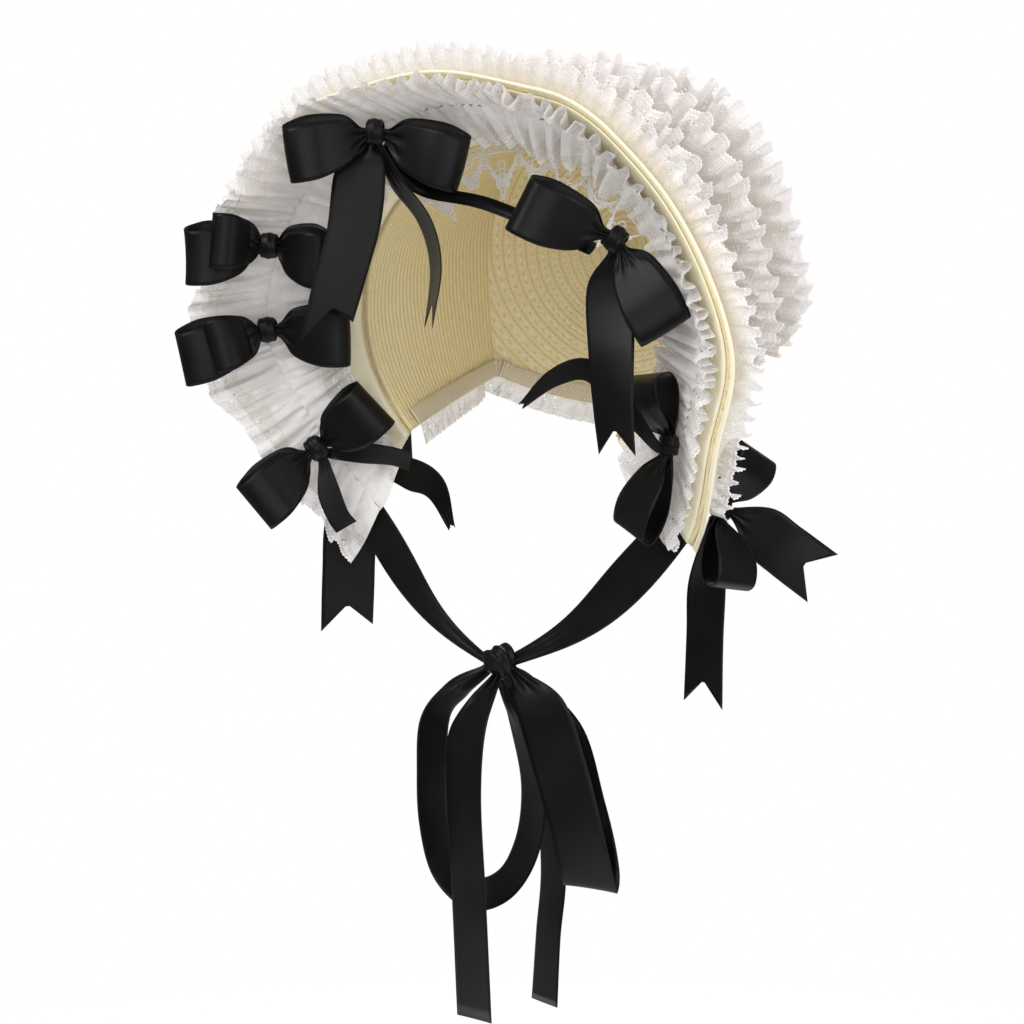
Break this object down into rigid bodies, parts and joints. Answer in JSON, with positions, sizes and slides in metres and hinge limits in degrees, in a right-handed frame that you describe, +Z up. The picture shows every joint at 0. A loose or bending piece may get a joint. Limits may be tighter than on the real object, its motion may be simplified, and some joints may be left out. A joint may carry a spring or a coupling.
{
  "type": "poke bonnet",
  "caption": "Straw poke bonnet with gathered white lace frills, black satin bows and ribbon ties knotted under the chin.",
  "frame": {"origin": "where the top of the head touches the inside of the crown, on the centre plane", "axes": "+Z up, -Y to the front of the brim, +X to the viewer's right as the brim's front is faced"},
  "size_m": [0.3572, 0.2491, 0.5304],
  "materials": {
    "crown": "matt sewn straw braid",
    "brim": "matt sewn straw braid",
    "brim_lining": "matt pale facing cloth",
    "brim_binding": "soft sheen piping cloth",
    "neck_band": "matt ribbed tape",
    "inner_ruffle": "matt white cotton lace",
    "edge_ruffle": "matt white cotton lace",
    "crown_ruffle_front": "matt white cotton lace",
    "crown_ruffle_middle": "matt white cotton lace",
    "crown_ruffle_back": "matt white cotton lace",
    "neck_frill": "matt white cotton lace",
    "mouth_lace": "matt white cotton lace",
    "bow_a_loops": "soft gloss satin ribbon",
    "bow_a_knot": "soft gloss satin ribbon",
    "bow_b_loops": "soft gloss satin ribbon",
    "bow_b_knot": "soft gloss satin ribbon",
    "bow_c_loops": "soft gloss satin ribbon",
    "bow_c_knot": "soft gloss satin ribbon",
    "bow_d_loops": "soft gloss satin ribbon",
    "bow_d_knot": "soft gloss satin ribbon",
    "bow_e_loops": "soft gloss satin ribbon",
    "bow_e_knot": "soft gloss satin ribbon",
    "bow_f_loops": "soft gloss satin ribbon",
    "bow_f_knot": "soft gloss satin ribbon",
    "bow_g_loops": "soft gloss satin ribbon",
    "bow_g_knot": "soft gloss satin ribbon",
    "bow_k_loops": "soft gloss satin ribbon",
    "bow_k_knot": "soft gloss satin ribbon",
    "bow_a_tail_wide": "soft gloss satin ribbon",
    "bow_a_tail_narrow": "soft gloss satin ribbon",
    "bow_b_tail": "soft gloss satin ribbon",
    "bow_e_tail_right": "soft gloss satin ribbon",
    "bow_e_tail_low": "soft gloss satin ribbon",
    "bow_f_tail": "soft gloss satin ribbon",
    "bow_g_tail_side": "soft gloss satin ribbon",
    "bow_g_tail_low": "soft gloss satin ribbon",
    "bow_k_tail_low": "soft gloss satin ribbon",
    "bow_k_tail_inner": "soft gloss satin ribbon",
    "bow_h_loops": "soft gloss satin ribbon",
    "swag_ribbon": "soft gloss satin ribbon",
    "tie_left": "soft gloss satin ribbon",
    "tie_right": "soft gloss satin ribbon",
    "chin_knot": "soft gloss satin ribbon",
    "chin_loop_left": "soft gloss satin ribbon",
    "chin_loop_right": "soft gloss satin ribbon",
    "chin_tail_left": "soft gloss satin ribbon",
    "chin_tail_right": "soft gloss satin ribbon"
  },
  "bodies": {
    "root": {"crown": "crown", "brim": "brim", "brim_lining": "brim_lining", "brim_binding": "brim_binding", "neck_band": "neck_band", "inner_ruffle": "inner_ruffle", "edge_ruffle": "edge_ruffle", "crown_ruffle_front": "crown_ruffle_front", "crown_ruffle_middle": "crown_ruffle_middle", "crown_ruffle_back": "crown_ruffle_back", "neck_frill": "neck_frill", "mouth_lace": "mouth_lace", "bow_a_loops": "bow_a_loops", "bow_a_knot": "bow_a_knot", "bow_b_loops": "bow_b_loops", "bow_b_knot": "bow_b_knot", "bow_c_loops": "bow_c_loops", "bow_c_knot": "bow_c_knot", "bow_d_loops": "bow_d_loops", "bow_d_knot": "bow_d_knot", "bow_e_loops": "bow_e_loops", "bow_e_knot": "bow_e_knot", "bow_f_loops": "bow_f_loops", "bow_f_knot": "bow_f_knot", "bow_g_loops": "bow_g_loops", "bow_g_knot": "bow_g_knot", "bow_k_loops": "bow_k_loops", "bow_k_knot": "bow_k_knot", "bow_a_tail_wide": "bow_a_tail_wide", "bow_a_tail_narrow": "bow_a_tail_narrow", "bow_b_tail": "bow_b_tail", "bow_e_tail_right": "bow_e_tail_right", "bow_e_tail_low": "bow_e_tail_low", "bow_f_tail": "bow_f_tail", "bow_g_tail_side": "bow_g_tail_side", "bow_g_tail_low": "bow_g_tail_low", "bow_k_tail_low": "bow_k_tail_low", "bow_k_tail_inner": "bow_k_tail_inner", "bow_h_loops": "bow_h_loops", "swag_ribbon": "swag_ribbon", "tie_left": "tie_left", "tie_right": "tie_right", "chin_knot": "chin_knot", "chin_loop_left": "chin_loop_left", "chin_loop_right": "chin_loop_right", "chin_tail_left": "chin_tail_left", "chin_tail_right": "chin_tail_right"}
  },
  "joints": []
}
